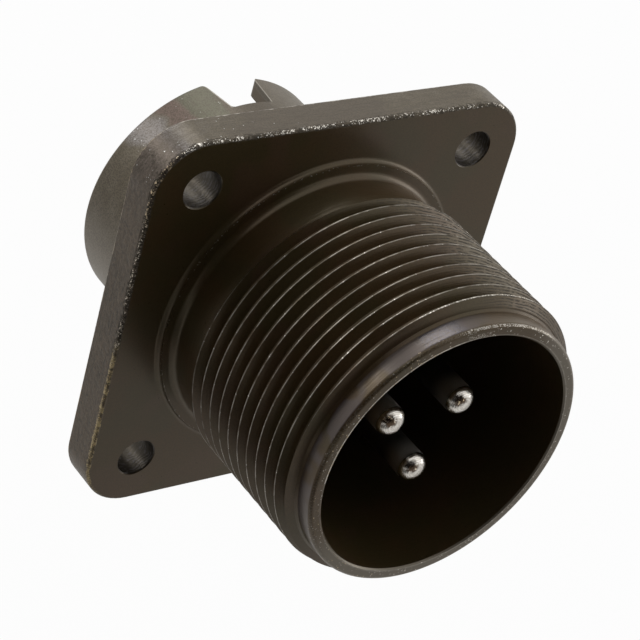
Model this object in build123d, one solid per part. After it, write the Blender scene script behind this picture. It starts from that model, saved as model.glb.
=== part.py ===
from build123d import *
import os
from math import cos, radians, sin

# Circular connector: a box-mount receptacle with a square flange, a threaded front barrel and
# three pin contacts in a two-part insulator. Millimetres, +Z up.
# The origin is on the connector's axis, in the plane of the flange's rear face, which lies against
# a panel. The mouth opens towards -Y and the wires leave towards +Y.
# A place along the axis is given as its distance ahead of the panel face, so the mouth has the
# largest value and what is behind the panel is negative.

# Flange and its four screw holes
FLANGE_WIDTH = 33.15
FLANGE_HEIGHT = 32.75
FLANGE_THICKNESS = 3.1
FLANGE_CORNER_RADIUS = 4.25
FLANGE_EDGE_ROUND = 0.25
SCREW_SPACING = 24.61
SCREW_HOLE_DIAMETER = 3.1
SCREW_HOLE_BREAK = 0.1

# Front barrel, measured from the flange's front face
BARREL_LENGTH = 19.0
STEP_DIAMETER = 25.7
STEP_HEIGHT = 0.45
STEP_LAND = 0.05
NECK_DIAMETER = 23.5
NECK_LENGTH = 3.6
NECK_FOOT_RADIUS = 0.6
THREAD_DIAMETER = 25.1
THREAD_RUN_OUT = 0.75
THREAD_END = 17.0
SHOULDER_LENGTH = 0.42
SHOULDER_FOOT_LENGTH = 0.2
SHOULDER_FOOT_HEIGHT = 0.15
NOSE_DIAMETER = 23.1
NOSE_ROUND = 0.35
RIM_BREAK = 0.12

# Mouth and the key that guides a plug
MOUTH_DIAMETER = 21.05
MOUTH_DEPTH = 18.0
KEY_ANGLE = 90.0
KEY_WIDTH = 1.2
KEY_HEIGHT = 1.0
KEY_SETBACK = 1.2
KEY_EDGE_ROUND = 0.15

# Rear barrel, with a notch in its top
REAR_LENGTH = 12.4
REAR_DIAMETER = 21.5
REAR_FOOT_RADIUS = 0.5
REAR_RIM_ROUND = 0.3
REAR_BORE_DIAMETER = 18.7
NOTCH_DEPTH = 3.7
NOTCH_OFFSET = -0.15
NOTCH_FLOOR_WIDTH = 3.6
NOTCH_RIM_WIDTH = 4.6
NOTCH_FLOOR_ROUND = 0.35
NOTCH_RIM_ROUND = 0.8

# Lip that the insert seats on, and the rib that keeps it from turning
LIP_THICKNESS = 1.2
LIP_DIAMETER = 17.8
RIB_WIDTH = 1.6
RIB_HEIGHT = 0.8

# Insert: two insulators and the retaining ring behind them
INSERT_CLEARANCE = 0.05
INSERT_TURN = 5.0
FRONT_BOSS_PROUD = 0.6
FRONT_BODY_LENGTH = 4.1
REAR_BODY_LENGTH = 5.0
RING_THICKNESS = 0.8
RING_WIDTH = 1.4
RING_SEAT = 0.55
RING_GAP_ANGLE = 42.0

# Contacts, turned from rod and soldered to their wires at the back
CONTACT_CIRCLE_DIAMETER = 7.15
CONTACT_COUNT = 3
PIN_DIAMETER = 2.39
PIN_TIP_ROUND = 0.85
PIN_RECESS = 2.5
SHANK_DIAMETER = 3.2
COLLAR_DIAMETER = 4.4
COLLAR_THICKNESS = 1.2
CUP_DIAMETER = 3.6
CUP_BORE_DIAMETER = 2.9
CUP_DEPTH = 4.4
CUP_WINDOW_LENGTH = 3.2
CUP_RECESS = 1.0

# Places along the axis that follow from these
STEP_FACE = FLANGE_THICKNESS + STEP_HEIGHT
RIM = FLANGE_THICKNESS + BARREL_LENGTH
LIP_FRONT = RIM - MOUTH_DEPTH
LIP_BACK = LIP_FRONT - LIP_THICKNESS
INSERT_SPLIT = LIP_BACK - FRONT_BODY_LENGTH
INSERT_BACK = INSERT_SPLIT - REAR_BODY_LENGTH
GROOVE_BACK = INSERT_BACK - RING_THICKNESS - INSERT_CLEARANCE
COLLAR_FRONT = INSERT_SPLIT + COLLAR_THICKNESS
INSERT_FACE = LIP_FRONT + FRONT_BOSS_PROUD
CONTACT_TIP = RIM - PIN_RECESS
CUP_END = CUP_RECESS - REAR_LENGTH


def turned(*outline):
    """Turns an outline of (distance ahead, radius) corners about the axis; a third value rounds one."""
    section = make_face(Polyline(*[(-corner[0], corner[1]) for corner in outline], close=True))
    for ahead, radius, rounding in (corner for corner in outline if len(corner) > 2):
        section = fillet(section.vertices().sort_by_distance((-ahead, radius))[0], rounding)
    return revolve(Plane.YZ * section, axis=Axis.Y)


def rod(diameter, back, front):
    """A cylinder on the axis."""
    return Plane.XZ.offset(back) * Cylinder(
        diameter / 2, front - back, align=(Align.CENTER, Align.CENTER, Align.MIN))


def spoke(angle, ahead):
    """A plane across the axis whose own x runs outwards at an angle, counted from +X towards +Z."""
    outwards = (cos(radians(angle)), 0, sin(radians(angle)))
    return Plane(origin=(0, -ahead, 0), x_dir=outwards, z_dir=(0, -1, 0))


def rib(angle, bore_diameter, height, width, back, front, edge_round=0.0):
    """A straight rib that stands inwards from a bore's wall and is rooted in that wall."""
    root = height
    bar = Pos(bore_diameter / 2 - height + (height + root) / 2, 0) * Rectangle(height + root, width)
    if edge_round:
        bar = fillet(bar.vertices().sort_by(Axis.X)[:2], edge_round)
    return extrude(spoke(angle, back) * bar, front - back)


def contact_places():
    """The contacts' angles and centres. The insert's turn puts the key a little off the middle of two."""
    step = 360 / CONTACT_COUNT
    for number in range(CONTACT_COUNT):
        angle = KEY_ANGLE + INSERT_TURN - step / 2 + number * step
        radius = CONTACT_CIRCLE_DIAMETER / 2
        yield angle, (radius * cos(radians(angle)), 0, radius * sin(radians(angle)))


def flange():
    """The square plate, its edges broken and its four holes drilled."""
    outline = RectangleRounded(FLANGE_WIDTH, FLANGE_HEIGHT, FLANGE_CORNER_RADIUS)
    plate = extrude(Plane.XZ * outline, FLANGE_THICKNESS)
    plate = fillet(plate.faces().sort_by(Axis.Y)[0].edges(), FLANGE_EDGE_ROUND)
    drill = rod(SCREW_HOLE_DIAMETER, 0, FLANGE_THICKNESS)
    for back, front in ((0, SCREW_HOLE_BREAK), (FLANGE_THICKNESS, FLANGE_THICKNESS - SCREW_HOLE_BREAK)):
        drill += turned((back, 0), (back, SCREW_HOLE_DIAMETER / 2 + SCREW_HOLE_BREAK),
                        (front, SCREW_HOLE_DIAMETER / 2), (front, 0))
    for x in (-SCREW_SPACING / 2, SCREW_SPACING / 2):
        for z in (-SCREW_SPACING / 2, SCREW_SPACING / 2):
            plate -= Pos(x, 0, z) * drill
    return plate


def barrels():
    """Both barrels and the hub between them, as one solid bar before boring."""
    hub_radius = (STEP_DIAMETER / 2 + STEP_HEIGHT + FLANGE_HEIGHT / 2) / 2
    shoulder_end = FLANGE_THICKNESS + THREAD_END + SHOULDER_LENGTH
    return turned(
        (-REAR_LENGTH, 0),
        (-REAR_LENGTH, REAR_DIAMETER / 2, REAR_RIM_ROUND),
        (0, REAR_DIAMETER / 2, REAR_FOOT_RADIUS),
        (0, hub_radius),
        (FLANGE_THICKNESS, hub_radius),
        (FLANGE_THICKNESS, STEP_DIAMETER / 2, STEP_HEIGHT - STEP_LAND),
        (STEP_FACE, STEP_DIAMETER / 2),
        (STEP_FACE, NECK_DIAMETER / 2, NECK_FOOT_RADIUS),
        (FLANGE_THICKNESS + NECK_LENGTH, NECK_DIAMETER / 2),
        (FLANGE_THICKNESS + NECK_LENGTH + THREAD_RUN_OUT, THREAD_DIAMETER / 2),
        (FLANGE_THICKNESS + THREAD_END, THREAD_DIAMETER / 2),
        (shoulder_end - SHOULDER_FOOT_LENGTH, NOSE_DIAMETER / 2 + SHOULDER_FOOT_HEIGHT),
        (shoulder_end, NOSE_DIAMETER / 2),
        (RIM, NOSE_DIAMETER / 2, NOSE_ROUND),
        (RIM, 0))


def bore():
    """Everything that is cut out along the axis: mouth, lip, rear bore and the ring's groove."""
    groove_radius = REAR_BORE_DIAMETER / 2 + RING_SEAT + INSERT_CLEARANCE
    return turned(
        (-REAR_LENGTH, 0),
        (-REAR_LENGTH, REAR_BORE_DIAMETER / 2 + RIM_BREAK),
        (-REAR_LENGTH + RIM_BREAK, REAR_BORE_DIAMETER / 2),
        (GROOVE_BACK, REAR_BORE_DIAMETER / 2),
        (GROOVE_BACK, groove_radius),
        (INSERT_BACK, groove_radius),
        (INSERT_BACK, REAR_BORE_DIAMETER / 2),
        (LIP_BACK, REAR_BORE_DIAMETER / 2),
        (LIP_BACK, LIP_DIAMETER / 2),
        (LIP_FRONT, LIP_DIAMETER / 2),
        (LIP_FRONT, MOUTH_DIAMETER / 2),
        (RIM - RIM_BREAK, MOUTH_DIAMETER / 2),
        (RIM, MOUTH_DIAMETER / 2 + RIM_BREAK),
        (RIM, 0))


def notch():
    """The cutter for the notch, open at the rear rim, where its sides flare out."""
    floor = REAR_LENGTH - NOTCH_DEPTH
    flare = NOTCH_RIM_WIDTH / 2 + 2 * NOTCH_RIM_ROUND
    beyond = REAR_LENGTH + NOTCH_DEPTH
    sides = [(NOTCH_FLOOR_WIDTH / 2, floor), (NOTCH_RIM_WIDTH / 2, REAR_LENGTH),
             (flare, REAR_LENGTH), (flare, beyond)]
    outline = sides + [(-x, y) for x, y in reversed(sides)]
    rounds = [NOTCH_FLOOR_ROUND, NOTCH_RIM_ROUND, 0, 0, 0, 0, NOTCH_RIM_ROUND, NOTCH_FLOOR_ROUND]
    face = make_face(FilletPolyline(*outline, radius=rounds, close=True))
    return Pos(NOTCH_OFFSET, 0, 0) * extrude(face, REAR_DIAMETER)


def make_shell():
    """The one-piece shell, with the key in its mouth and the rib behind its lip."""
    shell = flange() + barrels() - bore() - notch()
    key_front = RIM - KEY_SETBACK
    shell += rib(KEY_ANGLE, MOUTH_DIAMETER, KEY_HEIGHT, KEY_WIDTH, LIP_FRONT, key_front, KEY_EDGE_ROUND)
    shell += rib(KEY_ANGLE, REAR_BORE_DIAMETER, RIB_HEIGHT, RIB_WIDTH, INSERT_SPLIT, LIP_BACK)
    return shell


def make_front_insulator():
    """The front disc: its boss fills the lip, and the contacts' collars sit in its back."""
    body = rod(REAR_BORE_DIAMETER - 2 * INSERT_CLEARANCE, INSERT_SPLIT, LIP_BACK)
    body += rod(LIP_DIAMETER - 2 * INSERT_CLEARANCE, LIP_BACK, INSERT_FACE)
    for _, place in contact_places():
        body -= Pos(place) * rod(SHANK_DIAMETER + 2 * INSERT_CLEARANCE, INSERT_SPLIT, INSERT_FACE)
        body -= Pos(place) * rod(COLLAR_DIAMETER + 2 * INSERT_CLEARANCE, INSERT_SPLIT, COLLAR_FRONT)
    keyway = rib(KEY_ANGLE, REAR_BORE_DIAMETER, RIB_HEIGHT + INSERT_CLEARANCE,
                 RIB_WIDTH + 2 * INSERT_CLEARANCE, INSERT_SPLIT, LIP_BACK)
    return body - keyway


def make_rear_insulator():
    """The rear disc, which closes the collars in; the solder cups pass through it."""
    body = rod(REAR_BORE_DIAMETER - 2 * INSERT_CLEARANCE, INSERT_BACK, INSERT_SPLIT)
    for _, place in contact_places():
        body -= Pos(place) * rod(CUP_DIAMETER + 2 * INSERT_CLEARANCE, INSERT_BACK, INSERT_SPLIT)
    return body


def make_retaining_ring():
    """The sprung ring in the shell's groove, open at the bottom so that it can be squeezed."""
    middle = REAR_BORE_DIAMETER / 2 + RING_SEAT - RING_WIDTH / 2
    section = Plane.YZ * Pos(-INSERT_BACK + RING_THICKNESS / 2, middle) * Rectangle(RING_THICKNESS, RING_WIDTH)
    ring = revolve(section, axis=Axis.Y, revolution_arc=360 - RING_GAP_ANGLE)
    return Rot(0, 180 + RING_GAP_ANGLE / 2, 0) * ring


def make_contact(angle, place):
    """A pin on its thicker shank and collar, and at the back a solder cup that opens away from the axis."""
    turned_rod = turned(
        (CUP_END, 0),
        (CUP_END, CUP_DIAMETER / 2),
        (INSERT_SPLIT, CUP_DIAMETER / 2),
        (INSERT_SPLIT, COLLAR_DIAMETER / 2),
        (COLLAR_FRONT, COLLAR_DIAMETER / 2),
        (COLLAR_FRONT, SHANK_DIAMETER / 2),
        (INSERT_FACE, SHANK_DIAMETER / 2),
        (INSERT_FACE, PIN_DIAMETER / 2),
        (CONTACT_TIP, PIN_DIAMETER / 2, PIN_TIP_ROUND),
        (CONTACT_TIP, 0))
    cup = rod(CUP_BORE_DIAMETER, CUP_END, CUP_END + CUP_DEPTH)
    window = extrude(spoke(angle, CUP_END) * Pos(CUP_DIAMETER / 2, 0) * Rectangle(
        CUP_DIAMETER, CUP_DIAMETER), CUP_WINDOW_LENGTH)
    return Pos(place) * (turned_rod - cup - window)


def main():
    os.makedirs("parts", exist_ok=True)
    parts = {
        "shell": make_shell(),
        "front_insulator": make_front_insulator(),
        "rear_insulator": make_rear_insulator(),
        "retaining_ring": make_retaining_ring(),
    }
    for letter, (angle, place) in zip("abcdefgh", contact_places()):
        parts[f"contact_{letter}"] = make_contact(angle, place)
    for name, shape in parts.items():
        export_step(shape, f"parts/{name}.step")
        print(f"{name}: {shape.volume:.1f} cubic mm, {len(shape.solids())} solid")


main()
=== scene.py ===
# %% [markdown]
# # A box-mount circular connector
# The object is a receptacle that screws to a panel: one metal shell with a square flange and a
# threaded barrel, two black insulators inside it, three silvered pins and a spring ring.
# The imported CAD model is loaded first. It is the fixed frame, so every piece made here goes
# where the CAD says.

from math import cos, pi, radians, sin, tan
from types import SimpleNamespace

import bmesh
import bpy
from mathutils import Matrix, Vector


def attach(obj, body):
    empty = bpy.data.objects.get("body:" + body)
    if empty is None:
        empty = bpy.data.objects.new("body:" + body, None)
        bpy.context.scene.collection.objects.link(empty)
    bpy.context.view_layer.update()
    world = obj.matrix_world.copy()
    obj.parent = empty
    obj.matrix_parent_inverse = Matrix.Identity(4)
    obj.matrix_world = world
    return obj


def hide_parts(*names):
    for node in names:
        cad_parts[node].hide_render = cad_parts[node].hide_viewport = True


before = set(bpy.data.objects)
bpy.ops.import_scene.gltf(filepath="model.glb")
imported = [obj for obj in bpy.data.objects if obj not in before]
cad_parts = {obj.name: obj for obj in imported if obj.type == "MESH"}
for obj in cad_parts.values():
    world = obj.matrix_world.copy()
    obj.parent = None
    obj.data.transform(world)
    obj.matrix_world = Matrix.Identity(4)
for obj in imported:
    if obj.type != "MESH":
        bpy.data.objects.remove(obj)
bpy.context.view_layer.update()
print("CAD nodes:", ", ".join(sorted(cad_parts)))

# %% [markdown]
# ## The camera
# The picture is taken with a long lens from the front left and above, with the camera rolled a
# little. Three unit vectors say which way the camera's right, top and back point, so the
# matrix can be written down directly. The lens value belongs to Blender's 36 mm wide sensor.

# %% Camera
camera_data = bpy.data.cameras.new("camera")
camera_data.lens = 145.8
camera_data.clip_start = 0.01
camera = bpy.data.objects.new("camera", camera_data)
camera_right = Vector((0.8118, -0.5364, 0.2310)).normalized()
camera_top = Vector((0.1546, 0.5789, 0.8006)).normalized()
camera_back = camera_right.cross(camera_top)
turn = Matrix((camera_right, camera_top, camera_back)).transposed().to_4x4()
camera.matrix_world = Matrix.Translation((-0.11062, -0.12594, 0.10862)) @ turn
bpy.context.scene.collection.objects.link(camera)
bpy.context.scene.camera = camera
print("camera distance in mm:", round(camera.location.length * 1000, 1))

# %% [markdown]
# ## Sizes
# The bench works in millimetres. A place along the connector's axis is its distance ahead of the
# panel face, so the mouth has the largest value and what lies behind the panel is negative.
# These are the CAD model's own sizes, so the detailed shell stays inside the CAD box.

# %% Sizes of the flange and barrels
FLANGE_WIDTH = 33.15
FLANGE_HEIGHT = 32.75
FLANGE_THICKNESS = 3.1
FLANGE_CORNER = 4.25
FLANGE_EDGE = 0.25
STRAIGHT_X = FLANGE_WIDTH / 2 - FLANGE_CORNER
STRAIGHT_Z = FLANGE_HEIGHT / 2 - FLANGE_CORNER
SCREW_SPACING = 24.61
SCREW_HOLE = 3.1
STEP_FACE = 3.55
STEP_RADIUS = 12.85
NECK_RADIUS = 11.75
NECK_END = 6.7
THREAD_START = 7.45
THREAD_END = 20.1
THREAD_RADIUS = 12.55
THREAD_DEPTH = 0.74
THREAD_CREST = 0.07
PITCH = 1.27
SHOULDER = 20.52
NOSE_RADIUS = 11.55
NOSE_ROUND = 0.35
RIM = 22.1
REAR = -12.4
REAR_RADIUS = 10.75
STEPS = 256

# %% Sizes of the bore
MOUTH_RADIUS = 10.525
MOUTH_BREAK = 0.12
LIP_FRONT = 4.1
LIP_REAR = 2.9
LIP_RADIUS = 8.9
REAR_BORE = 9.35
GROOVE_RADIUS = 9.95
GROOVE_FRONT = -6.2
GROOVE_REAR = -7.05
KEY_WIDTH = 1.2
KEY_HEIGHT = 1.0
KEY_SETBACK = 1.2
RIB_WIDTH = 1.6
RIB_HEIGHT = 0.8

# %% [markdown]
# ## Helpers for turned shapes
# Nearly all of the connector was made on a lathe, so the first tool is a lathe too. An outline is
# a row of corners, each a distance ahead and a radius, with an optional third value that rounds
# it. Rounding a corner is plain geometry: the arc touches both sides at equal distances.

# %% Round the corners of an outline
def rounded(corners, arc_steps=6):
    """Turns (ahead, radius, round) corners into the points of an outline."""
    points = []
    for number, corner in enumerate(corners):
        here = Vector(corner[:2])
        if len(corner) < 3:
            points.append(here)
            continue
        before = (Vector(corners[number - 1][:2]) - here).normalized()
        after = (Vector(corners[(number + 1) % len(corners)][:2]) - here).normalized()
        half = before.angle(after) / 2
        reach = corner[2] / tan(half)
        centre = here + (before + after).normalized() * (corner[2] / sin(half))
        start = here + before * reach - centre
        finish = here + after * reach - centre
        swing = start.angle_signed(finish)
        for step in range(arc_steps + 1):
            part = -swing * step / arc_steps
            points.append(centre + Matrix.Rotation(part, 2) @ start)
    return points


def on_axis(radius, angle, ahead):
    """A point at an angle from +X towards +Z round the connector's axis."""
    return Vector((radius * cos(angle), -ahead, radius * sin(angle)))


# %% Turn an outline on the lathe
def lathe(name, corners, steps=STEPS, centre=(0, 0), closed=True):
    """A solid of revolution; outline points on the axis become single poles."""
    shape = bmesh.new()
    move = Vector((centre[0], 0, centre[1]))
    rings = []
    for ahead, radius in rounded(corners):
        count = steps if radius > 1e-6 else 1
        rings.append([shape.verts.new(on_axis(radius, 2 * pi * k / steps, ahead) + move)
                      for k in range(count)])
    pairs = list(zip(rings, rings[1:] + rings[:1])) if closed else list(zip(rings, rings[1:]))
    for one, two in pairs:
        if len(one) == 1 and len(two) == 1:
            continue
        for k in range(steps):
            ring = [one[k % len(one)], one[(k + 1) % len(one)], two[(k + 1) % len(two)], two[k % len(two)]]
            shape.faces.new(list(dict.fromkeys(ring)))
    return as_object(name, shape)


def as_object(name, shape):
    """Makes a bmesh an object, with its faces pointing outwards."""
    bmesh.ops.remove_doubles(shape, verts=shape.verts, dist=1e-5)
    bmesh.ops.recalc_face_normals(shape, faces=shape.faces)
    mesh = bpy.data.meshes.new(name)
    shape.to_mesh(mesh)
    shape.free()
    made = bpy.data.objects.new(name, mesh)
    bpy.context.scene.collection.objects.link(made)
    return made


# %% [markdown]
# A lathe alone can't make a square flange or drill a hole. The machine shop's other moves, to
# join a block or to cut with a tool, are Boolean operations. The exact solver is chosen because
# many faces here lie in one plane. The result replaces the mesh, and the tool is thrown away.

# %% Join and cut
def machine(body, operation, tool):
    """Joins a tool's shape to a body, or cuts it out, and removes the tool."""
    step = body.modifiers.new("step", "BOOLEAN")
    step.operation = operation
    step.solver = "EXACT"
    step.object = tool
    evaluated = body.evaluated_get(bpy.context.evaluated_depsgraph_get())
    mesh = bpy.data.meshes.new_from_object(evaluated)
    body.modifiers.clear()
    body.data = mesh
    bpy.data.objects.remove(tool)
    print(f"{body.name}: {operation.lower()}, {len(mesh.polygons)} faces")


# %% [markdown]
# ## The flange
# The flange is a cast plate, nearly square, with round corners. It is built as a stack of rounded
# outlines: each layer is a little smaller where the edge is broken, and the layers are bridged.
# This gives an even edge round the corners, which a bevel of a finished cube wouldn't.

# %% Flange plate
def rounded_square(inset, ahead, corner_steps=14):
    """The corners of one layer, at an inset from the flange's outline."""
    points = []
    for quarter, (side_x, side_z) in enumerate(((1, 1), (-1, 1), (-1, -1), (1, -1))):
        middle = Vector((side_x * STRAIGHT_X, -ahead, side_z * STRAIGHT_Z))
        for step in range(corner_steps + 1):
            angle = quarter * pi / 2 + step * pi / 2 / corner_steps
            points.append(middle + on_axis(FLANGE_CORNER - inset, angle, 0))
    return points


def flange_plate():
    """The plate, with a rounded front edge and a small break on the rear edge."""
    layers = [(0.07, 0.0), (0.02, 0.03), (0.0, 0.09)]
    for step in range(7):
        angle = step * pi / 12
        layers.append((FLANGE_EDGE * (1 - cos(angle)), FLANGE_THICKNESS - FLANGE_EDGE * (1 - sin(angle))))
    shape = bmesh.new()
    loops = [[shape.verts.new(p) for p in rounded_square(*layer)] for layer in layers]
    for one, two in zip(loops, loops[1:]):
        for k in range(len(one)):
            after = (k + 1) % len(one)
            shape.faces.new((one[k], one[after], two[after], two[k]))
    shape.faces.new(loops[0])
    shape.faces.new(loops[-1])
    return as_object("shell", shape)


shell = flange_plate()

# %% [markdown]
# ## The barrels
# Both barrels and the step in front of the flange are one turned outline, with a disc between
# them that the flange hides. The bore is a second outline that is cut out of it: the mouth, the
# lip that the insert seats on, the rear bore and the groove of the spring ring.

# %% Barrels and bore
DISC_RADIUS = 14.5
barrels = lathe("barrels", [
    (REAR, 0), (REAR, REAR_RADIUS, 0.3), (0, REAR_RADIUS, 0.5),
    (0, DISC_RADIUS), (FLANGE_THICKNESS, DISC_RADIUS), (FLANGE_THICKNESS, STEP_RADIUS, 0.4),
    (STEP_FACE, STEP_RADIUS), (STEP_FACE, NECK_RADIUS, 0.6), (NECK_END, NECK_RADIUS),
    (THREAD_START, THREAD_RADIUS), (THREAD_END, THREAD_RADIUS), (SHOULDER - 0.2, NOSE_RADIUS + 0.15),
    (SHOULDER, NOSE_RADIUS), (RIM, NOSE_RADIUS, NOSE_ROUND), (RIM, 0)], closed=False)
machine(shell, "UNION", barrels)
bore = lathe("bore", [
    (REAR - 1, 0), (REAR - 1, REAR_BORE + MOUTH_BREAK), (REAR, REAR_BORE + MOUTH_BREAK),
    (REAR + MOUTH_BREAK, REAR_BORE), (GROOVE_REAR, REAR_BORE), (GROOVE_REAR, GROOVE_RADIUS),
    (GROOVE_FRONT, GROOVE_RADIUS), (GROOVE_FRONT, REAR_BORE), (LIP_REAR, REAR_BORE),
    (LIP_REAR, LIP_RADIUS), (LIP_FRONT, LIP_RADIUS), (LIP_FRONT, MOUTH_RADIUS),
    (RIM - MOUTH_BREAK, MOUTH_RADIUS), (RIM, MOUTH_RADIUS + MOUTH_BREAK),
    (RIM + 1, MOUTH_RADIUS + MOUTH_BREAK), (RIM + 1, 0)], closed=False)
machine(shell, "DIFFERENCE", bore)

# %% [markdown]
# ## Geometry Nodes for what repeats
# The coupling thread follows a helix and the screw holes repeat on a square, so both are made by
# small node trees. A tree gets named inputs for its sizes. A modifier stores an input under the
# socket's identifier, not its name, so the values are set through the interface. The result is
# turned into a plain mesh before anything else is done with it.

# %% One class for every node tree
class Signal:
    """A socket of a node tree on which Python's own signs do maths."""

    def __init__(self, tree, socket=None):
        self.tree = tree
        self.socket = socket

    def node(self, kind, settings=None, sockets=None, output=0):
        """Adds any node: its settings first, then the values or links of its sockets."""
        made = self.tree.nodes.new(kind)
        for name, value in (settings or {}).items():
            setattr(made, name, value)
        for name, value in (sockets or {}).items():
            if isinstance(value, Signal):
                self.tree.links.new(value.socket, made.inputs[name])
            else:
                made.inputs[name].default_value = value
        return Signal(self.tree, made.outputs[output])

    def maths(self, operation, *values):
        """A Math node."""
        return self.node("ShaderNodeMath", {"operation": operation}, dict(enumerate(values)))

    def __add__(self, other):
        return self.maths("ADD", self, other)

    def __sub__(self, other):
        return self.maths("SUBTRACT", self, other)

    def __rsub__(self, other):
        return self.maths("SUBTRACT", other, self)

    def __mul__(self, other):
        return self.maths("MULTIPLY", self, other)

    def __truediv__(self, other):
        return self.maths("DIVIDE", self, other)

    __radd__ = __add__
    __rmul__ = __mul__


# %% A node tree and its named inputs
SOCKET_KINDS = {
    float: "NodeSocketFloat", int: "NodeSocketInt", bpy.types.Material: "NodeSocketMaterial",
    bpy.types.Object: "NodeSocketObject"}


def grow(name, sizes, build):
    """Runs a Geometry Nodes tree and returns its result as a plain object."""
    tree = bpy.data.node_groups.new(name, "GeometryNodeTree")
    named = {}
    for title, value in sizes.items():
        kind = SOCKET_KINDS[type(value)]
        named[title] = tree.interface.new_socket(title, in_out="INPUT", socket_type=kind).identifier
    tree.interface.new_socket("Geometry", in_out="OUTPUT", socket_type="NodeSocketGeometry")
    entry = tree.nodes.new("NodeGroupInput")
    inputs = {title: Signal(tree, entry.outputs[title]) for title in sizes}
    shape = build(Signal(tree), inputs)
    real = shape.node("GeometryNodeRealizeInstances", {}, {"Geometry": shape})
    dressed = real.node("GeometryNodeSetMaterial", {}, {"Geometry": real, "Material": inputs["Finish"]})
    tree.links.new(dressed.socket, tree.nodes.new("NodeGroupOutput").inputs[0])
    carrier = bpy.data.objects.new(name, bpy.data.meshes.new(name))
    bpy.context.scene.collection.objects.link(carrier)
    modifier = carrier.modifiers.new(name, "NODES")
    modifier.node_group = tree
    for title, value in sizes.items():
        modifier[named[title]] = value
    mesh = bpy.data.meshes.new_from_object(carrier.evaluated_get(bpy.context.evaluated_depsgraph_get()))
    carrier.modifiers.clear()
    carrier.data = mesh
    print(f"{name}: {len(mesh.polygons)} faces")
    return carrier


plating = bpy.data.materials.new("olive_plating")

# %% [markdown]
# ## The coupling thread
# A real thread is cut by a pointed tool that travels along the turning barrel, so it is cut here
# the same way: a wedge section is swept along a right-hand helix and taken out of the blank. The
# groove then runs out by itself at the neck and breaks through the shoulder, as on the real part.
# The wedge has a sixty degree point, and the plating and wear leave the crest a thin line.

# %% Thread cutter
OVERSHOOT = 0.1
GROOVE_TOP = PITCH - THREAD_CREST + 2 * OVERSHOOT * tan(radians(30))
GROOVE_FLOOR = GROOVE_TOP - 2 * (THREAD_DEPTH + OVERSHOOT) * tan(radians(30))
FIRST_GROOVE = 6.237
TURNS = 11.75


def helix_cutter(start, size):
    """A helix about the axis with the wedge section, turned from Z to the connector's axis."""
    path = start.node("GeometryNodeCurveSpiral", {}, {
        "Resolution": size["Points per turn"], "Rotations": size["Turns"], "Reverse": True,
        "Start Radius": size["Outer radius"], "End Radius": size["Outer radius"],
        "Height": size["Turns"] * size["Pitch"]})
    path = path.node("GeometryNodeSetCurveNormal", {"mode": "Z_UP"}, {"Curve": path})
    section = start.node("GeometryNodeCurvePrimitiveQuadrilateral", {"mode": "POINTS"}, {
        "Point 1": (0, GROOVE_TOP / 2, 0), "Point 2": (-THREAD_DEPTH - OVERSHOOT, GROOVE_FLOOR / 2, 0),
        "Point 3": (-THREAD_DEPTH - OVERSHOOT, -GROOVE_FLOOR / 2, 0), "Point 4": (0, -GROOVE_TOP / 2, 0)})
    wedge = start.node("GeometryNodeCurveToMesh", {}, {
        "Curve": path, "Profile Curve": section, "Fill Caps": True})
    place = start.node("ShaderNodeCombineXYZ", {}, {"Y": 0 - size["First groove"]})
    return start.node("GeometryNodeTransform", {}, {
        "Geometry": wedge, "Translation": place, "Rotation": (pi / 2, 0, 0)})


cutter = grow("thread_cutter", {
    "Pitch": PITCH, "Turns": TURNS, "Outer radius": THREAD_RADIUS + OVERSHOOT,
    "First groove": FIRST_GROOVE, "Points per turn": STEPS, "Finish": plating}, helix_cutter)
machine(shell, "DIFFERENCE", cutter)

# %% [markdown]
# ## The screw holes
# One drill shape, with the small countersink that its tip leaves on both faces, is repeated on
# the corners of a square.

# %% Drill four holes
SUNK = 0.1
HOLE_RADIUS = SCREW_HOLE / 2
drill = lathe("drill", [
    (-1, 0), (-1, HOLE_RADIUS + SUNK), (0, HOLE_RADIUS + SUNK), (SUNK, HOLE_RADIUS),
    (FLANGE_THICKNESS - SUNK, HOLE_RADIUS), (FLANGE_THICKNESS, HOLE_RADIUS + SUNK),
    (FLANGE_THICKNESS + 1, HOLE_RADIUS + SUNK), (FLANGE_THICKNESS + 1, 0)], steps=64, closed=False)


def on_a_square(start, size):
    """The drill on the corners of a square across the axis."""
    square = start.node("GeometryNodeMeshGrid", {}, {
        "Size X": size["Spacing"], "Size Y": size["Spacing"], "Vertices X": 2, "Vertices Y": 2})
    square = start.node("GeometryNodeTransform", {}, {"Geometry": square, "Rotation": (pi / 2, 0, 0)})
    bit = start.node("GeometryNodeObjectInfo", {}, {"Object": size["Drill"]}, output=4)
    return start.node("GeometryNodeInstanceOnPoints", {}, {"Points": square, "Instance": bit})


drills = grow("drills", {"Spacing": SCREW_SPACING, "Drill": drill, "Finish": plating}, on_a_square)
bpy.data.objects.remove(drill)
machine(shell, "DIFFERENCE", drills)

# %% [markdown]
# ## Notch and key
# The rear barrel has a notch in its top with flared sides, cut with a prism whose corners are
# rounded. The mouth has a key that lets a plug in only one way round, set back from the rim,
# and a rib behind the lip keeps the insert from turning. Both are rooted a little way into the
# wall, so the unions have no faces that only touch.

# %% Notch in the rear barrel
def prism(name, outline, low, high, place):
    """Extrudes an outline between two heights; place turns (across, along, height) into a point."""
    shape = bmesh.new()
    ends = [[shape.verts.new(place(x, y, height)) for x, y in outline] for height in (low, high)]
    for k in range(len(outline)):
        after = (k + 1) % len(outline)
        shape.faces.new((ends[0][k], ends[0][after], ends[1][after], ends[1][k]))
    shape.faces.new(ends[0])
    shape.faces.new(ends[1])
    return as_object(name, shape)


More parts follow.
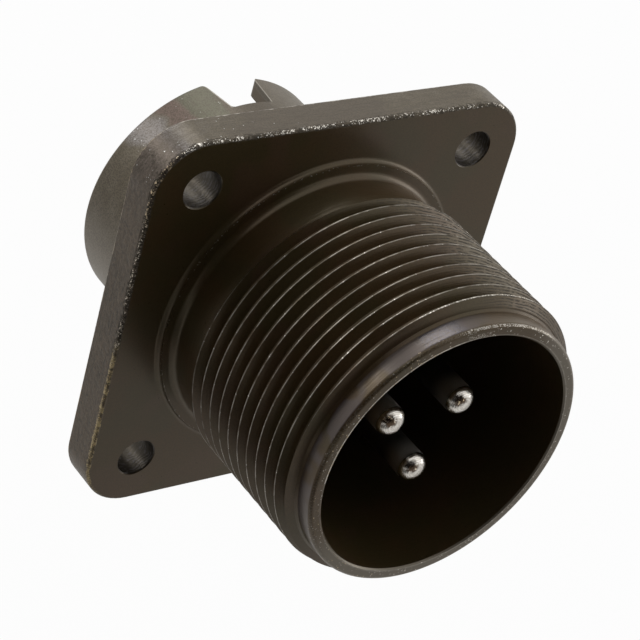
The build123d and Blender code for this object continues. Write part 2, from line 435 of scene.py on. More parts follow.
NOTCH_MIDDLE = -0.15
NOTCH_DEPTH = 3.7
NOTCH_CORNERS = [
    (-1.8, -REAR - NOTCH_DEPTH, 0.35), (1.8, -REAR - NOTCH_DEPTH, 0.35), (2.3, -REAR, 0.8),
    (3.9, -REAR), (3.9, 16.0), (-3.9, 16.0), (-3.9, -REAR), (-2.3, -REAR, 0.8)]
notch = prism("notch", [(p.x, p.y) for p in rounded([
    (NOTCH_MIDDLE + across, *rest) for across, *rest in NOTCH_CORNERS])], 4.0, 14.0,
    lambda across, along, height: Vector((across, along, height)))
machine(shell, "DIFFERENCE", notch)

# %% Key in the mouth and rib behind the lip
def ridge(name, half, top, root, rear, front, *edge):
    """Joins a ridge that stands inwards from the top of a wall; edge rounds its two corners."""
    outline = rounded([(-half, top, *edge), (half, top, *edge), (half, root), (-half, root)])
    shape = prism(name, [(p.x, p.y) for p in outline], rear, front,
                  lambda across, out, ahead: Vector((across, -ahead, out)))
    machine(shell, "UNION", shape)


ridge("key", KEY_WIDTH / 2, MOUTH_RADIUS - KEY_HEIGHT, 10.9, LIP_FRONT - 0.2, RIM - KEY_SETBACK, 0.15)
ridge("rib", RIB_WIDTH / 2, REAR_BORE - RIB_HEIGHT, 9.9, -1.2, LIP_REAR)

# %% [markdown]
# ## Smooth and sharp
# The faces are shaded smooth across gentle angles and left sharp at real edges. A weighted normal
# modifier lets the large flat faces keep their own direction where a small rounding meets them.

# %% Finish a metal piece
def finish_piece(piece, finish, node, sharp=28):
    """Shades a piece, brings it to metres and hands it to the frame."""
    shape = bmesh.new()
    shape.from_mesh(piece.data)
    bmesh.ops.remove_doubles(shape, verts=shape.verts, dist=2e-4)
    bmesh.ops.dissolve_degenerate(shape, edges=shape.edges, dist=2e-4)
    loose = sum(not edge.is_manifold for edge in shape.edges)
    volume = shape.calc_volume(signed=True)
    shape.to_mesh(piece.data)
    shape.free()
    piece.data.shade_smooth()
    piece.data.set_sharp_from_angle(angle=radians(sharp))
    weigh = piece.modifiers.new("weigh", "WEIGHTED_NORMAL")
    weigh.keep_sharp = True
    weigh.mode = "FACE_AREA_WITH_ANGLE"
    mesh = bpy.data.meshes.new_from_object(piece.evaluated_get(bpy.context.evaluated_depsgraph_get()))
    piece.modifiers.clear()
    piece.data = mesh
    mesh.transform(Matrix.Scale(0.001, 4))
    mesh.materials.clear()
    mesh.materials.append(finish)
    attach(piece, "root")
    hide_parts(node)
    print(f"{piece.name}: {len(mesh.polygons)} faces, {volume:.1f} cubic mm, {loose} open edges")


finish_piece(shell, plating, "shell")

# %% [markdown]
# ## The contacts
# Each pin is turned from rod with a dome on its tip, and stands on a thicker shank and a collar
# that the two insulators hold between them. At the back a solder cup is bored out and its outer
# side milled open, so that a wire can be laid in from the side. The open half is drawn face by
# face: 72 steps round put a corner exactly on both edges of the opening, for all three pins.

# %% Three contacts
CONTACT_CIRCLE = 7.15 / 2
CONTACT_ANGLES = {"contact_a": 35, "contact_b": 155, "contact_c": 275}
PIN_TIP = 19.6
CUP_BACK = -11.4
CUP_SILL = -8.2
CUP_OUTER = 1.8
CUP_BORE = 1.45
CUP_STEPS = 72
silver = bpy.data.materials.new("silver_plate")


def contact(name, angle):
    """One pin at an angle round the axis, with its cup open on the side away from the axis."""
    middle = on_axis(CONTACT_CIRCLE, radians(angle), 0)
    centre = (middle.x, middle.z)
    rod = lathe("rod", [
        (CUP_SILL, CUP_OUTER), (-1.2, CUP_OUTER), (-1.2, 2.2), (0, 2.2), (0, 1.6), (4.7, 1.6),
        (4.7, 1.195), (PIN_TIP, 1.195, 0.85), (PIN_TIP, 0)], CUP_STEPS, centre, closed=False)
    bore = lathe("bore", [(CUP_SILL, CUP_BORE), (-7.3, CUP_BORE), (-6.9, 0)], CUP_STEPS, centre,
                 closed=False)
    shape = bmesh.new()
    for part in (rod, bore):
        shape.from_mesh(part.data)
        bpy.data.objects.remove(part)

    def patch(*corners):
        shape.faces.new([shape.verts.new(middle + on_axis(
            radius, radians(angle) + 2 * pi * step / CUP_STEPS, ahead)) for step, ahead, radius in corners])

    quarter = CUP_STEPS // 4
    for step in range(quarter, 5 * quarter):
        after = step + 1
        floor = CUP_BACK if step < 3 * quarter else CUP_SILL
        patch((step, floor, CUP_OUTER), (after, floor, CUP_OUTER),
              (after, floor, CUP_BORE), (step, floor, CUP_BORE))
        if floor == CUP_BACK:
            for radius in (CUP_OUTER, CUP_BORE):
                patch((step, CUP_BACK, radius), (after, CUP_BACK, radius),
                      (after, CUP_SILL, radius), (step, CUP_SILL, radius))
    for step in (quarter, 3 * quarter):
        patch((step, CUP_BACK, CUP_OUTER), (step, CUP_SILL, CUP_OUTER),
              (step, CUP_SILL, CUP_BORE), (step, CUP_BACK, CUP_BORE))
    finish_piece(as_object(name, shape), silver, name)


for name, angle in CONTACT_ANGLES.items():
    contact(name, angle)

# %% [markdown]
# ## How a finish is written
# A finish here is a small program that reads the place on the piece. Object coordinates are in
# metres, so they are scaled once to millimetres, and every size below can then be read as a real
# one. Only the colour, the roughness, the metallic value and the normal vary over a surface.

# %% Start a finish
def start_finish(material, metallic=0.0, roughness=0.5, specular=0.5, tint=(1, 1, 1)):
    """Clears a material; gives its shader, a first signal and the place in millimetres."""
    material.use_nodes = True
    tree = material.node_tree
    tree.nodes.clear()
    start = Signal(tree)
    shader = tree.nodes.new("ShaderNodeBsdfPrincipled")
    shader.inputs["Metallic"].default_value = metallic
    shader.inputs["Roughness"].default_value = roughness
    shader.inputs["Specular IOR Level"].default_value = specular
    shader.inputs["Specular Tint"].default_value = (*tint, 1)
    tree.links.new(shader.outputs[0], tree.nodes.new("ShaderNodeOutputMaterial").inputs[0])
    place = start.node("ShaderNodeTexCoord", output=3)
    place = start.node("ShaderNodeVectorMath", {"operation": "SCALE"}, {0: place, "Scale": 1000.0})
    return shader, start, place


def feed(shader, **links):
    """Links signals to the shader's sockets, such as base_color."""
    for name, signal in links.items():
        signal.tree.links.new(signal.socket, shader.inputs[name.replace("_", " ").title()])


def split(place):
    """The three parts of a vector."""
    parts = place.node("ShaderNodeSeparateXYZ", {}, {"Vector": place})
    return [Signal(place.tree, output) for output in parts.socket.node.outputs]


def small_bump(start, strength, height):
    """A Bump node whose height is given in hundredths of a millimetre."""
    return start.node("ShaderNodeBump", {}, {"Strength": strength, "Distance": 0.00001, "Height": height})


# %% Patterns and masks
def noise(place, scale, detail=2.0, roughness=0.5):
    """Cloudy noise about 0.5, with its scale per millimetre."""
    return place.node("ShaderNodeTexNoise", {}, {
        "Vector": place, "Scale": scale, "Detail": detail, "Roughness": roughness})


def cells(place, scale):
    """Small cells: two random values for each one, and the distance to its middle in cells."""
    found = place.node("ShaderNodeTexVoronoi", {}, {"Vector": place, "Scale": scale}, output=1)
    one, two, _ = split(found)
    return one, two, Signal(place.tree, found.socket.node.outputs[0])


def ease(value, low, high):
    """0 below low, 1 above high, and a smooth rise between; low may be above high."""
    if low > high:
        return 1 - ease(value, high, low)
    return value.node("ShaderNodeMapRange", {"interpolation_type": "SMOOTHSTEP"}, {
        "Value": value, "From Min": low, "From Max": high})


def band(value, low, high, soft):
    """1 between two values, with soft ends."""
    return ease(value, low - soft, low) * ease(value, high + soft, high)


def most(*values):
    """The largest of several signals."""
    top = values[0]
    for value in values[1:]:
        top = top.maths("MAXIMUM", top, value)
    return top


def blend(mask, one, two):
    """Colour one where the mask is 0, colour two where it is 1."""
    mixed = mask.node("ShaderNodeMix", {"data_type": "RGBA"}, {0: mask}, output=2)
    for number, colour in ((6, one), (7, two)):
        socket = mixed.socket.node.inputs[number]
        if isinstance(colour, Signal):
            mask.tree.links.new(colour.socket, socket)
        else:
            socket.default_value = (*colour, 1)
    return mixed


# %% [markdown]
# ## The plating
# The shell is plated and then passivated to a dark olive brown. The coat is a varnish-like film,
# so most of the shine is the plain shine of a film over a dark brown. The faces that were cast
# (the rear barrel and the flange's sides) are rougher and paler than those that were machined.
#
# The masks follow the wear on the real part. The flange's front edge is chipped down to bright
# metal along the top and speckled with brass colour on the left. The thread's crests are rubbed
# thin, the rim of the mouth is speckled, and the screw holes show the drill's rings. Some masks
# are painted light and shade: highlights on the nose, high on the cast faces, on the notch's
# edges, the flange's rear edge and the mouth, white glints on the cast faces, shade deep in the
# screw holes, and a darker upper left and paler right on the rim's face.

# %% Where on the shell
def measure_shell(start, place):
    """Signals in millimetres that say where a point of the shell is, and on which faces it lies."""
    x, y, z = split(place)
    ahead = 0 - y
    radius = start.maths("SQRT", x * x + z * z)
    over_x = start.maths("ABSOLUTE", x) - STRAIGHT_X
    over_z = start.maths("ABSOLUTE", z) - STRAIGHT_Z
    beyond_x = start.maths("MAXIMUM", over_x, 0)
    beyond_z = start.maths("MAXIMUM", over_z, 0)
    outline = start.maths("SQRT", beyond_x * beyond_x + beyond_z * beyond_z) - FLANGE_CORNER
    outline = outline + start.maths("MINIMUM", start.maths("MAXIMUM", over_x, over_z), 0)
    hole_x = over_x + (STRAIGHT_X - SCREW_SPACING / 2)
    hole_z = over_z + (STRAIGHT_Z - SCREW_SPACING / 2)
    hole = start.maths("SQRT", hole_x * hole_x + hole_z * hole_z)
    on_flange = ease(outline, -3.4, -3.2) * ease(ahead, FLANGE_THICKNESS + 0.2, FLANGE_THICKNESS + 0.1)
    side_face = ease(outline, -0.3, -0.1) * on_flange
    behind = ease(ahead, 0.02, -0.02) * ease(radius, 10.2, 10.4)
    in_hole = ease(hole, HOLE_RADIUS + 0.11, HOLE_RADIUS + 0.03)
    in_hole = in_hole * ease(ahead, FLANGE_THICKNESS + 0.02, FLANGE_THICKNESS - 0.05)
    turned = ease(radius, 13.4, 13.2) * ease(ahead, FLANGE_THICKNESS - 0.1, FLANGE_THICKNESS + 0.1)
    return SimpleNamespace(
        start=start, place=place, x=x, z=z, ahead=ahead, radius=radius, outline=outline,
        around=start.maths("ARCTAN2", z, x) * (180 / pi), on_flange=on_flange, side_face=side_face,
        behind=behind, cast=most(side_face, behind), in_hole=in_hole, turned=turned)


def add_patterns(at):
    """Adds the patterns that several masks share: grain, streaks and small cells."""
    drawn = at.start.node("ShaderNodeCombineXYZ", {}, {0: at.x * 0.7, 1: at.ahead * 7.0, 2: at.z * 0.7})
    at.streak = noise(drawn, 1.0, 3)
    at.grain = noise(at.place, 2.4, 3)
    at.fine = noise(at.place, 8.0, 3)
    at.fleck, at.glint, _ = cells(at.place, 13.0)
    at.pock, _, _ = cells(at.place, 5.0)


def turning_marks(at, scale):
    """Fine rings about the axis: noise that is quick along the outline and slow round it."""
    across = at.start.node("ShaderNodeCombineXYZ", {}, {
        0: at.radius * scale, 1: at.ahead * scale, 2: at.x / at.radius * 2.0})
    return at.start.node("ShaderNodeTexNoise", {"noise_dimensions": "4D"}, {
        "Vector": across, "W": at.z / at.radius * 2.0, "Scale": 1.0, "Detail": 2.0})


# %% [markdown]
# A photograph of plating shows many browns that a single swatch can't. The large patches are
# named here by where they lie: the machined film is brown to olive, the cast faces are paler, and
# behind the flange they drift through green, pink and violet, as passivated plating does. The pale
# violet high on the upper left of the cast faces is also a painted highlight.

# %% Colours of the plating
DARK_BROWN = (0.068, 0.041, 0.017)
DARK_OLIVE = (0.058, 0.042, 0.017)
DARK_RED = (0.078, 0.045, 0.026)
CAST_DEEP = (0.088, 0.072, 0.047)
CAST_PALE = (0.122, 0.103, 0.073)
CAST_PINK = (0.135, 0.088, 0.076)
CAST_GREEN = (0.080, 0.086, 0.054)
CAST_BROWN = (0.072, 0.056, 0.040)
CAST_VIOLET_AND_HIGHLIGHT = (0.205, 0.193, 0.198)
CAST_GRAIN = (0.030, 0.023, 0.016)
CAST_PAINTED_LIGHT = (0.27, 0.245, 0.21)
SIDE_BROWN = (0.074, 0.046, 0.031)
SIDE_GRAIN = (0.022, 0.014, 0.010)
SIDE_STREAK = (0.040, 0.030, 0.022)
CRACK_BLACK = (0.008, 0.006, 0.004)
HOLE_DARK = (0.010, 0.008, 0.006)
HOLE_RING = (0.062, 0.060, 0.068)
HOLE_PAINTED_SHADE = (0.016, 0.011, 0.006)
FILM_GRAIN = (0.026, 0.018, 0.009)
FURROW_BLACK = (0.004, 0.003, 0.002)
NOSE_VIOLET = (0.088, 0.072, 0.076)
NOSE_HIGHLIGHT = (0.086, 0.080, 0.096)
RIM_PAINTED_SHADE = (0.040, 0.024, 0.008)
RIM_PAINTED_LIGHT = (0.17, 0.15, 0.12)
PIT_BLACK = (0.010, 0.008, 0.005)
BARE_METAL_AND_HIGHLIGHT = (0.80, 0.76, 0.69)
BRASS = (0.56, 0.40, 0.19)
BRASS_FILM = (0.50, 0.39, 0.20)
PAINTED_GLINT = (0.72, 0.72, 0.70)


def plating_colour(at, violet_and_highlight):
    """The film's colour with its large hue patches; cast faces are paler and more mottled."""
    tint = blend(ease(noise(at.place, 0.17, 2), 0.42, 0.60), DARK_BROWN, DARK_OLIVE)
    tint = blend(ease(noise(at.place, 0.23, 1), 0.55, 0.70) * 0.7, tint, DARK_RED)
    cloud = noise(at.place, 0.9, 4)
    pale = blend(ease(cloud, 0.32, 0.68), CAST_DEEP, CAST_PALE)
    drift = noise(at.place, 0.35, 3) * 30 - 15
    pale = blend(band(at.around + drift, 84, 116, 5) * 0.8, pale, CAST_BROWN)
    pale = blend(band(at.around + drift * 0.5, 116, 124, 3) * at.behind * 0.9, pale, CAST_PINK)
    pale = blend(band(at.around + drift * 0.5, 105, 114, 3) * at.behind * 0.9, pale, CAST_GREEN)
    # The violet is partly tint and partly a painted highlight.
    pale = blend(violet_and_highlight, pale, CAST_VIOLET_AND_HIGHLIGHT)
    return blend(at.cast, tint, pale)


# %% The cast faces and the screw holes
def cast_colour(at, tint):
    """Adds grain, streaks, cracks and a painted pale light to the cast faces; gives the tint and two masks.
    """
    left_side = at.side_face * ease(at.x, -14, -15.5)
    tint = blend(left_side * 0.7, tint, SIDE_BROWN)
    tint = blend(left_side * ease(at.grain, 0.50, 0.40) * 0.5, tint, SIDE_GRAIN)
    tint = blend(at.side_face * ease(at.streak, 0.54, 0.40) * 0.4, tint, SIDE_STREAK)
    tint = blend(at.cast * ease(at.fine, 0.52, 0.40) * 0.45, tint, CAST_GRAIN)
    # Painted light: the rear barrel is made paler towards its lower left.
    painted_pale_light = ease(at.x, -5, -10.7) * ease(at.z, 3, -4) * at.behind * ease(at.radius, 11.2, 11)
    tint = blend(painted_pale_light * 0.6, tint, CAST_PAINTED_LIGHT)
    far_left = at.side_face * ease(at.x, -15, -16)
    along = at.start.node("ShaderNodeCombineXYZ", {}, {0: at.ahead * 2.6, 1: at.z * 0.22})
    seam = at.start.maths("ABSOLUTE", noise(along, 1.0, 3) - 0.5)
    crack = far_left * band(at.z, -4, 4, 2) * ease(seam, 0.016, 0.006)
    tint = blend(most(crack, far_left * ease(at.pock, 0.05, 0.03) * 0.7), tint, CRACK_BLACK)
    return tint, far_left, crack


def hole_colour(at, tint):
    """Drill rings and painted shade deep in the screw holes; gives the tint, the rings and where they are
    clear.
    """
    wave = at.ahead * 20.0 + noise(at.place, 0.9, 3) * 24.0
    rings = at.start.maths("SINE", wave) * 0.5 + 0.5
    clear = ease(rings, 0.3, 0.7) * ease(at.grain, 0.42, 0.56)
    tint = blend(at.in_hole, tint, blend(clear, HOLE_DARK, HOLE_RING))
    # Painted shade: the holes darken towards their deep end at the panel face.
    tint = blend(at.in_hole * ease(at.ahead, 1.3, 0.5) * 0.8, tint, HOLE_PAINTED_SHADE)
    return tint, rings, clear


# %% The turned faces
def turned_colour(at, tint):
    """Furrows on the thread, nose tint and painted highlight, rim painted shade and light; gives the tint,
    two masks.
    """
    tint = blend(ease(at.fine, 0.58, 0.40) * 0.3, tint, FILM_GRAIN)
    ridges = at.start.maths("SINE", at.radius * 34.0 + noise(at.place, 0.5, 3) * 9.0)
    furrows = ease(ridges, -0.2, 0.7) * at.turned * ease(at.x, -2, 5) * ease(at.radius, 11.6, 11.7)
    furrows = furrows * ease(at.radius, 12.7, 12.6) * ease(at.grain, 0.36, 0.56)
    furrows = furrows * band(at.ahead, 7.1, THREAD_END + 0.1, 0.2)
    tint = blend(furrows * 0.9, tint, FURROW_BLACK)
    on_nose = ease(at.ahead, SHOULDER - 0.02, SHOULDER + 0.13) * ease(at.ahead, RIM - 0.2, RIM - 0.3)
    on_nose = on_nose * ease(at.radius, 11.3, 11.5)
    cloud = ease(noise(at.place, 0.45, 1), 0.42, 0.56)
    tint = blend(on_nose * cloud * ease(at.x, 2, -2) * 0.8, tint, NOSE_VIOLET)
    # Painted highlight: a paler, more metallic violet-grey band round the top of the nose.
    nose_highlight = on_nose * band(at.around + at.grain * 3, 102, 115, 4) * (ease(at.fine, 0.32, 0.55) * 0.6 + 0.4)
    tint = blend(nose_highlight, tint, NOSE_HIGHLIGHT)
    rim_face = ease(at.ahead, RIM - 0.2, RIM - 0.05) * ease(at.radius, 11.7, 11.6)
    # Painted shade and light on the rim's face: darker towards the upper left, paler on the right and
    # bottom.
    tint = blend(rim_face * band(at.around, 122, 180, 10) * 0.5, tint, RIM_PAINTED_SHADE)
    tint = blend(rim_face * most(ease(at.x, 4, 8), ease(at.z, -4, -8)) * 0.8, tint, RIM_PAINTED_LIGHT)
    return tint, furrows, nose_highlight


# %% Wear of the flange and its painted highlight
def flange_wear_and_highlight(at):
    """Masks: chips to bare metal, dark pits, brass-coloured line, and the painted highlight of the rear
    edge.
    """
    up = ease(at.z, 13.4, 15.4)
    left = ease(at.x, -14.2, -15.8)
    low = ease(at.z, 0.5, -3.0)
    edge_place = at.outline * 1.3 + (at.ahead - FLANGE_THICKNESS) * 0.8 + at.grain * 0.3
    edge = ease(edge_place, -0.14, -0.01) * at.on_flange
    elsewhere = at.start.node("ShaderNodeCombineXYZ", {}, {
        0: at.x + 31.0, 1: at.ahead - 7.0, 2: at.z + 12.0})
    cluster = ease(noise(elsewhere, 0.75, 2), 0.40, 0.58)
    where = most(up, left * (1 - low * 0.3), 0.12)
    dense = cluster * 0.30 * up + left * (1 - low) * 0.10
    chips = edge * ease(at.fleck + dense, 0.90, 0.95) * where * ease(at.glint, 0.1, 0.6)
    corner = ease(at.x, -9, -10.5) * ease(at.z, 10, 11)
    chips = most(chips, edge * corner * ease(at.pock, 0.90, 0.92))
    pits = ease(edge_place, -0.24, -0.12) * at.on_flange * ease(at.pock, 0.62, 0.48)
    pits = pits * most(up * 0.75, left) * (1 - chips) * (1 - low * 0.7)
    line = ease(edge_place, -0.17, -0.08) * at.on_flange * ease(at.x, -14.2, -15.8)
    broken = ease(noise(elsewhere, 1.9, 3), 0.44, 0.58) * 0.8 + 0.2
    brass_line = line * low * broken * (ease(at.fleck + cluster * 0.3, 0.35, 0.9) * 0.8 + 0.2)
    # Painted highlight: a thin bright line in bare-metal colour along the flange's rear edge.
    rear_edge_highlight = ease(at.outline - at.ahead + at.grain * 0.22, -0.03, 0.05)
    rear_edge_highlight = rear_edge_highlight * at.on_flange * ease(at.grain, 0.35, 0.6)
    return chips, pits, brass_line, rear_edge_highlight


# %% Wear and painted highlights of the barrels
def barrel_wear_and_highlights(at):
    """Masks: bare metal on the thread's crests and rim, painted highlights on the rim and mouth's edge."""
    crest = ease(at.radius, THREAD_RADIUS - 0.05, THREAD_RADIUS - 0.015)
    crest = crest * ease(at.ahead, 7.0, 7.4) * ease(at.ahead, THREAD_END + 0.15, THREAD_END + 0.05)
    rubbed = ease(noise(at.place, 1.1, 3), 0.30, 0.66) * 0.34 + ease(at.fleck, 0.978, 0.990) * 0.7
    last_crest = crest * ease(at.ahead, 18.9, 19.2) * band(at.around, 62, 108, 8)
    last_crest = last_crest * (ease(at.fleck, 0.45, 0.75) * 0.7 + 0.2)
    corner = at.radius + at.ahead - (NOSE_RADIUS + RIM - 0.586 * NOSE_ROUND)
    # Worn outer edge of the rim, made brighter along the top as a painted highlight.
    rim_wear_and_highlight = ease(corner, -0.04, -0.01) * (band(at.around, 58, 96, 8) * 0.5 + 0.08)
    rim_wear_and_highlight = rim_wear_and_highlight * ease(at.fleck + noise(at.place, 1.4, 2), 0.75, 1.15)
    rim_specks = ease(corner, -0.14, -0.08) * ease(at.fleck, 0.90, 0.95) * at.glint
    rim_specks = rim_specks * ease(noise(at.place, 0.9, 2), 0.48, 0.60)
    on_face = ease(at.ahead, RIM - 0.03, RIM - 0.01)
    face_specks = on_face * ease(at.fleck, 0.96, 0.98) * at.glint
    # Painted highlight: a thin bright line on the mouth's edge, strongest towards the upper left.
    mouth_highlight = on_face * band(at.radius, 10.64, 10.73, 0.02) * ease(at.grain, 0.25, 0.5)
    mouth_highlight = mouth_highlight * (band(at.around, 104, 176, 12) * 0.6 + 0.15)
    dent = on_face * band(at.around, 88, 97, 1.5) * band(at.radius, 10.6, 11.0, 0.1)
    dent = dent * ease(at.fleck, 0.5, 0.7) * 0.4
    step_line = band(at.radius, STEP_RADIUS - 0.07, STEP_RADIUS + 0.05, 0.03)
    step_line = step_line * band(at.ahead, STEP_FACE - 0.1, STEP_FACE + 0.05, 0.03)
    step_line = step_line * ease(at.fleck, 0.93, 0.97) * 0.5
    return most(crest * rubbed, last_crest, rim_wear_and_highlight, rim_specks, face_specks, mouth_highlight, dent, step_line)


def notch_highlight(at):
    """The mask of a painted highlight: a thin bright line on the edges of the notch, which lean outwards.
    """
    lean = (0 - at.ahead - 8.7) * 0.135
    from_edge = at.start.maths("ABSOLUTE", at.x + 0.15) - lean - 1.8
    line = band(from_edge, -0.02, 0.07, 0.04) * ease(at.radius, REAR_RADIUS - 0.06, REAR_RADIUS - 0.02)
    return line * ease(at.ahead, -8.6, -8.9) * ease(at.z, 8, 9)


def cast_painted_glints(at):
    """The mask of painted glints: white specks where the light catches the grain of the cast faces."""
    dust, _, middle = cells(at.place, 1.6)
    large = ease(dust, 0.60, 0.64) * ease(middle, 0.08, 0.05)
    small = ease(at.fleck, 0.980, 0.990) * ease(noise(at.place, 0.8, 2), 0.56, 0.62)
    return most(large, small) * at.cast * band(at.around, 104, 142, 4)


# %% Olive plating
def olive_plating(material):
    shader, start, place = start_finish(material, 0.2, 0.36, 0.66, (1.0, 0.875, 0.70))
    at = measure_shell(start, place)
    add_patterns(at)
    drift = noise(place, 0.35, 3) * 20 - 10
    # Violet tint that also paints the back lamp's highlight, high on the upper left of the cast faces.
    violet_and_highlight = band(at.around + drift, 131, 138, 7) * ease(at.z, 4, 7) * at.cast * 0.8
    tint = plating_colour(at, violet_and_highlight)
    tint, far_left, crack = cast_colour(at, tint)
    tint, rings, clear = hole_colour(at, tint)
    tint, furrows, nose_highlight = turned_colour(at, tint)

    chips, pits, brass_line, rear_edge_highlight = flange_wear_and_highlight(at)
    worn_and_highlights = barrel_wear_and_highlights(at)
    # Bare metal of chips and worn crests, with the painted highlights of the rear edge, notch, rim and
    # mouth.
    bare_and_highlights = most(chips, rear_edge_highlight * 0.5, notch_highlight(at) * 0.35, worn_and_highlights)
    low_or_high = most(ease(at.z, -1, -4), ease(at.z, 9, 11) * 0.6)
    yellow = most(ease(at.x, -14, -15.5) * (low_or_high * 0.7 + 0.3),
                  ease(at.x, 0, -6) * ease(at.ahead, 20.5, 21.5) * ease(at.glint, 0.7, 0.8) * 0.7)
    # Painted glints: white specks on the upper left of the cast faces.
    painted_glints = cast_painted_glints(at)
    tint = blend(pits * 0.85, tint, PIT_BLACK)
    tint = blend(brass_line, tint, BRASS_FILM)
    tint = blend(bare_and_highlights, tint, blend(yellow, BARE_METAL_AND_HIGHLIGHT, BRASS))
    tint = blend(painted_glints, tint, PAINTED_GLINT)

    rough = (at.fine * 0.10 + at.grain * 0.10 + 0.21 + at.cast * 0.08 + pits * 0.3 - nose_highlight * 0.05
             + bare_and_highlights * 0.08 + furrows * 0.2 + at.in_hole * 0.12)
    metal = most(bare_and_highlights, at.in_hole * clear * 0.25, nose_highlight * 0.36, violet_and_highlight * 0.35, 0.2 - painted_glints * 0.2)
    height = (at.fine * (0.6 + at.cast * 1.4) + at.grain * (at.cast * 2.4 + 0.5)
              + turning_marks(at, 9.0) * at.turned * 2.4 + at.streak * at.side_face * 0.8
              + rings * at.in_hole * 1.2 - furrows * 1.1 + far_left * at.grain * 6
              + at.fleck * most(chips, worn_and_highlights) * 4 - pits * 3 - crack * 3)
    feed(shader, base_color=tint, roughness=rough, metallic=metal, normal=small_bump(start, 0.5, height))


olive_plating(plating)
print("plating nodes:", len(plating.node_tree.nodes))

# %% [markdown]
# ## The other finishes
# The pins are silver plated, so they are wholly metal, with the rings that turning left, a
# painted shade that darkens them towards their roots and a painted dark reflection with copper
# glints on each tip. The insulators are moulded in black, half matt, and the spring ring is
# brushed along its length.

# %% Silver plate
SILVER_WARM = (0.62, 0.57, 0.50)
SILVER_BRIGHT = (0.95, 0.92, 0.86)
PAINTED_REFLECTION_BROWN = (0.11, 0.075, 0.050)
PAINTED_COPPER_GLINT = (0.95, 0.74, 0.48)
PIN_PAINTED_SHADE = (0.075, 0.068, 0.062)


def ring_noise(value, scale, detail):
    """Noise that varies with one value only, such as the distance to an axis."""
    return value.node("ShaderNodeTexNoise", {"noise_dimensions": "1D"}, {
        "W": value, "Scale": scale, "Detail": detail})


def from_a_pin(start, x, z, aside=(0, 0)):
    """The distance to the axis of the nearest pin, or to a line beside it."""
    nearest = None
    for angle in CONTACT_ANGLES.values():
        middle = on_axis(CONTACT_CIRCLE, radians(angle), 0)
        across = x - (middle.x + aside[0])
        up = z - (middle.z + aside[1])
        distance = start.maths("SQRT", across * across + up * up)
        nearest = distance if nearest is None else start.maths("MINIMUM", nearest, distance)
    return nearest


def silver_plate(material):
    shader, start, place = start_finish(material, 1.0, 0.3)
    x, y, z = split(place)
    ahead = 0 - y
    centre = from_a_pin(start, x, z)
    cloud = noise(place, 2.2, 3)
    rings = ring_noise(centre, 9.0, 3.0)
    lines = ring_noise(ahead, 9.0, 2.0)
    fleck, _, _ = cells(place, 6.0)
    face = ease(ahead, PIN_TIP - 0.9, PIN_TIP - 0.7)
    # Painted reflection: a dark brown patch with copper glints on each tip, to the upper left of its apex.
    reflection_reach = from_a_pin(start, x, z, (-0.50, 0.42)) + fleck * 0.25 + cloud * 0.5
    painted_reflection = ease(reflection_reach, 1.0, 0.6) * ease(ahead, PIN_TIP - 0.8, PIN_TIP - 0.6)
    tint = blend(ease(rings, 0.35, 0.65) * 0.6 + cloud * 0.3, SILVER_WARM, SILVER_BRIGHT)
    tint = blend(painted_reflection, tint, blend(ease(fleck, 0.84, 0.87), PAINTED_REFLECTION_BROWN, PAINTED_COPPER_GLINT))
    # Painted shade: each pin darkens from its tip towards its root in the mouth.
    tint = blend(ease(ahead, PIN_TIP - 0.7, PIN_TIP - 3.0) * 0.9, tint, PIN_PAINTED_SHADE)
    feed(shader, base_color=tint, roughness=cloud * 0.12 + 0.15 + (1 - face) * 0.2)
    height = rings * face * 4 + lines * 3 + cloud + fleck * painted_reflection * 5
    feed(shader, normal=small_bump(start, 0.5, height))


silver_plate(silver)

# %% Moulded black and spring steel
MOULDED_DARK = (0.016, 0.014, 0.012)
MOULDED_PALE = (0.028, 0.025, 0.021)
STEEL_DARK = (0.38, 0.37, 0.36)
STEEL_PALE = (0.56, 0.55, 0.53)


def moulded_black(material):
    shader, start, place = start_finish(material, 0.0, 0.5)
    cloud = noise(place, 1.2, 3)
    feed(shader, base_color=blend(cloud, MOULDED_DARK, MOULDED_PALE))
    feed(shader, roughness=cloud * 0.2 + 0.42)
    feed(shader, normal=small_bump(start, 0.3, noise(place, 6.0, 2) * 3))


def spring_steel(material):
    shader, start, place = start_finish(material, 1.0, 0.35)
    x, _, z = split(place)
    radius = start.maths("SQRT", x * x + z * z)
    brushed = ring_noise(radius, 14.0, 2.0)
    feed(shader, base_color=blend(brushed, STEEL_DARK, STEEL_PALE))
    feed(shader, roughness=noise(place, 2.0) * 0.2 + 0.26)


FINISHED_NODES = {moulded_black: ("front_insulator", "rear_insulator"), spring_steel: ("retaining_ring",)}
for make, nodes in FINISHED_NODES.items():
    finish = bpy.data.materials.new(make.__name__)
    make(finish)
    for node in nodes:
        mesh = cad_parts[node].data
        mesh.materials.clear()
        mesh.materials.append(finish)

# %% [markdown]
# ## Floor, cards and light
# The part is held by its flange, so the floor lies some way below it. The room is pale: the
# camera and the reflections see white. A curved dark card stands in front on the left, behind the
# camera, as photographers place one so that dark metal keeps its depth. A lower one lies on the
# floor, for the faces that look down. Three soft boxes add the long highlights.

# %% Floor
FLOOR_HEIGHT = -0.06


def stage_piece(name, shape, surface):
    """A floor or card that isn't part of the object."""
    piece = as_object(name, shape)
    material = bpy.data.materials.new(name)
    material.use_nodes = True
    tree = material.node_tree
    tree.nodes.clear()
    tree.links.new(surface(Signal(tree)).socket, tree.nodes.new("ShaderNodeOutputMaterial").inputs[0])
    piece.data.materials.append(material)
    return piece


def seen_directly(start):
    """1 for the camera and for reflections, 0 for the light that surfaces scatter."""
    path = start.node("ShaderNodeLightPath", output=0)
    rays = path.socket.node.outputs
    glossy = Signal(start.tree, rays["Is Glossy Ray"])
    return most(path, glossy, Signal(start.tree, rays["Is Transmission Ray"]))


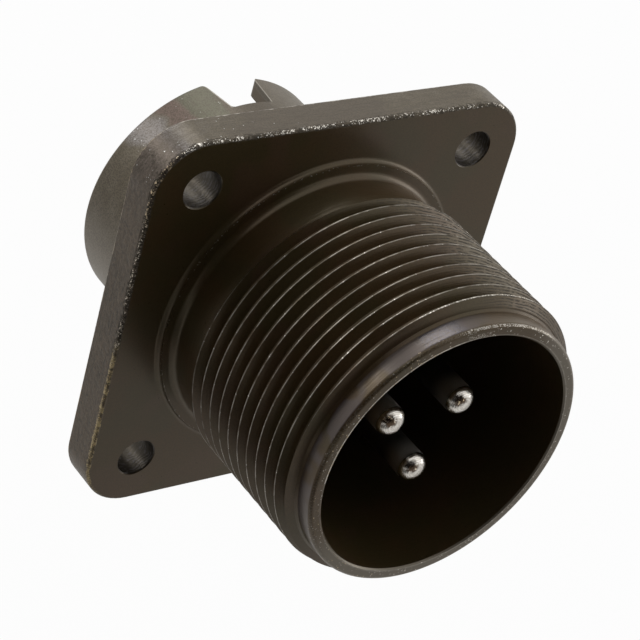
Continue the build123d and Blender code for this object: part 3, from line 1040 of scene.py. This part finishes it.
def pale_surface(start):
    camera_ray = start.node("ShaderNodeLightPath", output=0)
    share = seen_directly(start) * 0.24 + camera_ray * 0.71
    matt = start.node("ShaderNodeBsdfDiffuse", {}, {"Color": (0.80, 0.80, 0.80, 1)})
    glow = start.node("ShaderNodeEmission", {}, {"Color": (1, 1, 1, 1), "Strength": 1.0})
    return start.node("ShaderNodeMixShader", {}, {0: share, 1: matt, 2: glow})


floor_shape = bmesh.new()
bmesh.ops.create_grid(floor_shape, x_segments=1, y_segments=1, size=3)
bmesh.ops.translate(floor_shape, verts=floor_shape.verts, vec=(0, 0, FLOOR_HEIGHT))
stage_piece("floor", floor_shape, pale_surface)

# %% Dark cards
CARD_FOOT = -0.055


def dark_card(name, azimuths, grey, across):
    """A curved card through points at each azimuth; across gives (distance, height) of its edges."""
    shape = bmesh.new()
    edges = []
    for azimuth in azimuths:
        a = radians(azimuth)
        edges.append([shape.verts.new((far * sin(a), -far * cos(a), height)) for far, height in across])
    for one, two in zip(edges, edges[1:]):
        shape.faces.new((one[0], two[0], two[1], one[1]))
    card = stage_piece(name, shape, lambda start: start.node(
        "ShaderNodeBsdfDiffuse", {}, {"Color": (grey, grey, grey, 1)}))
    card.visible_camera = False


dark_card("dark_card", range(-112, 22, 10), 0.03, ((0.36, CARD_FOOT), (0.36, 0.42)))
dark_card("low_card", range(-80, 0, 10), 0.16, ((0.065, CARD_FOOT), (0.16, CARD_FOOT)))

# %% World
world = bpy.data.worlds.new("studio")
bpy.context.scene.world = world
world.use_nodes = True
world.node_tree.nodes.clear()
start = Signal(world.node_tree)
SCATTERED_LEVEL = 0.62
camera_ray = start.node("ShaderNodeLightPath", output=0)
level = most(seen_directly(start), camera_ray + SCATTERED_LEVEL)
light = start.node("ShaderNodeBackground", {}, {"Color": (1, 1, 1, 1), "Strength": level})
world.node_tree.links.new(light.socket, world.node_tree.nodes.new("ShaderNodeOutputWorld").inputs[0])

# %% Soft boxes
def soft_box(name, azimuth, elevation, distance, width, height, radiance):
    """A rectangular lamp aimed at the origin; azimuth 0 is in front and 90 on the right."""
    lamp = bpy.data.lights.new(name, "AREA")
    lamp.shape = "RECTANGLE"
    lamp.size, lamp.size_y = width, height
    lamp.energy = radiance * pi * width * height
    box = bpy.data.objects.new(name, lamp)
    a, e = radians(azimuth), radians(elevation)
    way = Vector((sin(a) * cos(e), -cos(a) * cos(e), sin(e)))
    box.matrix_world = Matrix.Translation(way * distance) @ way.to_track_quat("Z", "Y").to_matrix().to_4x4()
    box.visible_camera = False
    bpy.context.scene.collection.objects.link(box)
    print(f"{name}: {lamp.energy:.2f} W")


soft_box("top_box", 169, 51, 0.6, 0.26, 0.22, 3.7)
soft_box("back_box", -143, 32, 0.6, 0.15, 0.14, 8.0)
soft_box("right_box", 72, 6, 0.6, 0.34, 0.20, 2.0)

# %% [markdown]
# ## Close
# The look settings stay plain.

# %% Close
bpy.context.scene.view_settings.view_transform = "Standard"
